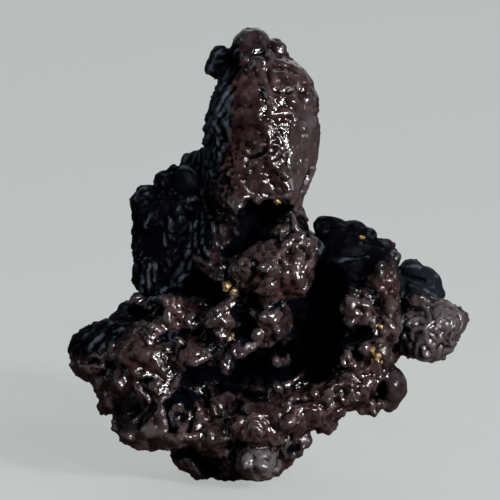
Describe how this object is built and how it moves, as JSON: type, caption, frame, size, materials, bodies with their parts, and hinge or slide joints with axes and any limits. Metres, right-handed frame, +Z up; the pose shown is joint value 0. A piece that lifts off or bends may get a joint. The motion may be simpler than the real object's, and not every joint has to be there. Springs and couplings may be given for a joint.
{
  "type": "knobbly dark mineral specimen",
  "caption": "Glossy dark knobbly mineral lump with a tall rounded finger on top and a hollow in its front, resting on a flat foot.",
  "frame": {"origin": "middle of the flat foot that it rests on", "axes": "+Z up through the finger, -Y towards the side with the hollow, +X towards the far lobe"},
  "size_m": [0.0651, 0.0423, 0.0732],
  "materials": {
    "stone_skin": "glassy wet-looking natural skin"
  },
  "bodies": {
    "root": {"stone": "stone_skin"}
  },
  "joints": []
}
